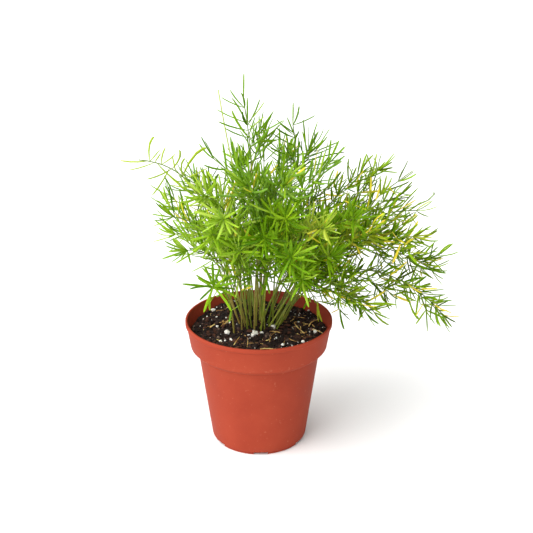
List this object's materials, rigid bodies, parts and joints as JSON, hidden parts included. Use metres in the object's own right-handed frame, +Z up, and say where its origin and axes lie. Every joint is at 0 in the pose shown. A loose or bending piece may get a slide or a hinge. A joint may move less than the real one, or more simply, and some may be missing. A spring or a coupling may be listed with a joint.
{
  "type": "potted asparagus fern",
  "caption": "Asparagus fern with arching stems of narrow needle-like leaves, growing in a tapered round nursery pot with a stepped collar and a drained foot.",
  "frame": {"origin": "centre of the pot's flat underside", "axes": "+Z up, -Y is the front that the picture shows, +X is the side to which the plant leans"},
  "size_m": [0.2267, 0.1698, 0.2585],
  "materials": {
    "pot_plastic": "matte terracotta-coloured moulded plastic with fine specks",
    "potting_mix": "dark crumbly bark and peat mix with white perlite",
    "fern_green": "satin living green, lime to olive, with some straw-yellow needles",
    "pale_shoot": "satin pale green young shoot",
    "dry_straw": "dry matte straw"
  },
  "bodies": {
    "root": {"pot": "pot_plastic", "soil": "potting_mix", "stem_low_left": "fern_green", "stem_front_left": "fern_green", "stem_side_left": "fern_green", "stem_mid_left": "fern_green", "stem_high_left": "fern_green", "stem_inner_left": "fern_green", "stem_crest_left": "fern_green", "stem_crest_right": "fern_green", "stem_front_high": "fern_green", "stem_front_mid": "fern_green", "stem_front_right": "fern_green", "stem_front_low": "fern_green", "stem_yellow_star": "fern_green", "stem_lower_star": "fern_green", "stem_outer_star": "fern_green", "stem_far_left_arch": "fern_green", "stem_back_left_dark": "fern_green", "stem_left_low": "fern_green", "stem_left_front": "fern_green", "stem_left_inner": "fern_green", "stem_spire": "fern_green", "stem_side_spire": "fern_green", "stem_right_spire": "fern_green", "stem_right_spire_low": "fern_green", "stem_shoulder": "fern_green", "stem_right_crest": "fern_green", "stem_right_high": "fern_green", "stem_right_far_high": "fern_green", "stem_right_mid_high": "fern_green", "stem_right_far": "fern_green", "stem_right_mid": "fern_green", "stem_right_inner": "fern_green", "stem_right_drooping": "fern_green", "stem_right_drooping_back": "fern_green", "stem_right_low_front": "fern_green", "stem_right_low_back": "fern_green", "stem_right_low_near": "fern_green", "stem_rim_right": "fern_green", "stem_back_left": "fern_green", "stem_back": "fern_green", "stem_back_right": "fern_green", "stem_back_right_low": "fern_green", "stem_back_high": "fern_green", "stem_back_high_left": "fern_green", "stem_back_far_right": "fern_green", "stem_back_low_left": "fern_green", "stem_back_low": "fern_green", "bare_shoot": "pale_shoot", "dry_stalk_1": "dry_straw", "dry_stalk_2": "dry_straw", "dry_stalk_3": "dry_straw", "dry_stalk_4": "dry_straw", "dry_stalk_5": "dry_straw", "dry_stalk_6": "dry_straw"}
  },
  "joints": []
}
